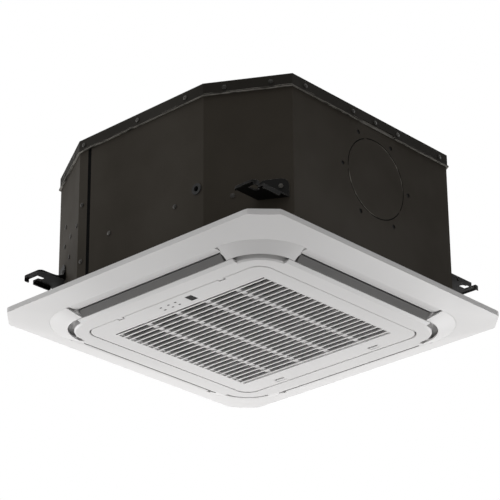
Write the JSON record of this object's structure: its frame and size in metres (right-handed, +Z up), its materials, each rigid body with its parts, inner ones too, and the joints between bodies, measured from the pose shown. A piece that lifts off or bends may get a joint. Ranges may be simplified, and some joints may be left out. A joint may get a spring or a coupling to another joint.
{
  "type": "ceiling cassette air conditioner",
  "caption": "Square four-way ceiling cassette: dark sheet-metal casing with hanger brackets above a pale panel with a louvred grille.",
  "frame": {"origin": "middle of the panel in the plane of the finished ceiling, on the upper face of the panel rim", "axes": "+Z up into the ceiling, -Y the side with the signal receiver and grille hinge, +X the side with the fresh-air knock-out"},
  "size_m": [0.65, 0.65, 0.3327],
  "materials": {
    "casing_paint": "semi-matte warm black-brown paint",
    "bracket_paint": "black paint",
    "zinc": "zinc plated",
    "black_rubber": "matte",
    "black_plastic": "matte",
    "foam": "expanded foam",
    "fan_plastic": "matte",
    "steel": "machined",
    "fins": "fine fins",
    "copper": "drawn copper tube",
    "brass": "machined",
    "panel_plastic": "satin moulded plastic",
    "vane_plastic": "satin moulded plastic",
    "grey_plastic": "satin",
    "board": "laminate",
    "lens": "clear tinted"
  },
  "bodies": {
    "root": {"bell_mouth": "fan_plastic", "cable_grommet": "black_rubber", "circuit_board": "board", "coil": "fins", "coil_end_plates": "zinc", "control_box": "zinc", "control_box_cover": "zinc", "corner_cover_front_left": "panel_plastic", "corner_cover_front_right": "panel_plastic", "corner_cover_rear_left": "panel_plastic", "corner_cover_rear_right": "panel_plastic", "corner_plate": "casing_paint", "drain_pan": "foam", "drain_pump": "black_plastic", "drain_spigot": "black_plastic", "fan_motor": "steel", "flare_nuts": "brass", "gas_header": "copper", "hanger_bracket_front_left": "bracket_paint", "hanger_bracket_front_right": "bracket_paint", "hanger_bracket_rear_left": "bracket_paint", "hanger_bracket_rear_right": "bracket_paint", "knockout_disc": "casing_paint", "liner": "foam", "liquid_pipe": "copper", "motor_bolts": "zinc", "motor_mounts": "black_rubber", "outlet_seals": "foam", "panel_bolts": "zinc", "panel_frame": "panel_plastic", "panel_lugs": "bracket_paint", "pipe_drip_tray": "black_plastic", "pipe_plate": "casing_paint", "pump_brackets": "zinc", "pump_hose": "black_rubber", "return_bends": "copper", "rim_screws": "zinc", "terminal_block": "grey_plastic", "top_cover": "casing_paint", "top_insulation": "foam", "vane_motors": "grey_plastic", "wall_screws": "zinc", "wall_wrap_front": "casing_paint", "wall_wrap_rear": "casing_paint"},
    "grille": {"intake_grille": "panel_plastic", "led_lenses": "lens", "receiver_window": "lens", "receiver_circuit": "board"},
    "latch_left_body": {"latch_left": "grey_plastic"},
    "latch_right_body": {"latch_right": "grey_plastic"},
    "filter": {"air_filter": "grey_plastic"},
    "fan": {"fan_wheel": "fan_plastic", "fan_insert": "steel", "fan_nut": "zinc", "motor_shaft": "steel"},
    "float": {"float_switch": "grey_plastic"},
    "vane_front_body": {"vane_front": "vane_plastic"},
    "vane_rear_body": {"vane_rear": "vane_plastic"},
    "vane_left_body": {"vane_left": "vane_plastic"},
    "vane_right_body": {"vane_right": "vane_plastic"}
  },
  "joints": [
    {"name": "grille_hinge", "type": "hinge", "parent": "root", "child": "grille", "pos_m": [0, -0.2074, -0.0324], "axis": [-1, 0, 0], "range_deg": [0, 85]},
    {"name": "latch_left_slide", "type": "slide", "parent": "grille", "child": "latch_left_body", "axis": [0, -1, 0], "range_m": [0, 0.005]},
    {"name": "latch_right_slide", "type": "slide", "parent": "grille", "child": "latch_right_body", "axis": [0, -1, 0], "range_m": [0, 0.005]},
    {"name": "filter_lift", "type": "slide", "parent": "grille", "child": "filter", "axis": [0, 0, 1], "range_m": [0, 0.006]},
    {"name": "fan_spin", "type": "hinge", "parent": "root", "child": "fan", "pos_m": [0, 0, 0.2], "axis": [0, 0, 1], "continuous": true},
    {"name": "float_slide", "type": "slide", "parent": "root", "child": "float", "axis": [0, 0, 1], "range_m": [0, 0.012]},
    {"name": "vane_front_hinge", "type": "hinge", "parent": "root", "child": "vane_front_body", "pos_m": [0, -0.2466, -0.0205], "axis": [-1, 0, 0], "range_deg": [0, 80]},
    {"name": "vane_rear_hinge", "type": "hinge", "parent": "root", "child": "vane_rear_body", "pos_m": [0, 0.2466, -0.0205], "axis": [1, 0, 0], "range_deg": [0, 80]},
    {"name": "vane_left_hinge", "type": "hinge", "parent": "root", "child": "vane_left_body", "pos_m": [-0.2466, 0, -0.0205], "axis": [0, 1, 0], "range_deg": [0, 80]},
    {"name": "vane_right_hinge", "type": "hinge", "parent": "root", "child": "vane_right_body", "pos_m": [0.2466, 0, -0.0205], "axis": [0, -1, 0], "range_deg": [0, 80]}
  ]
}
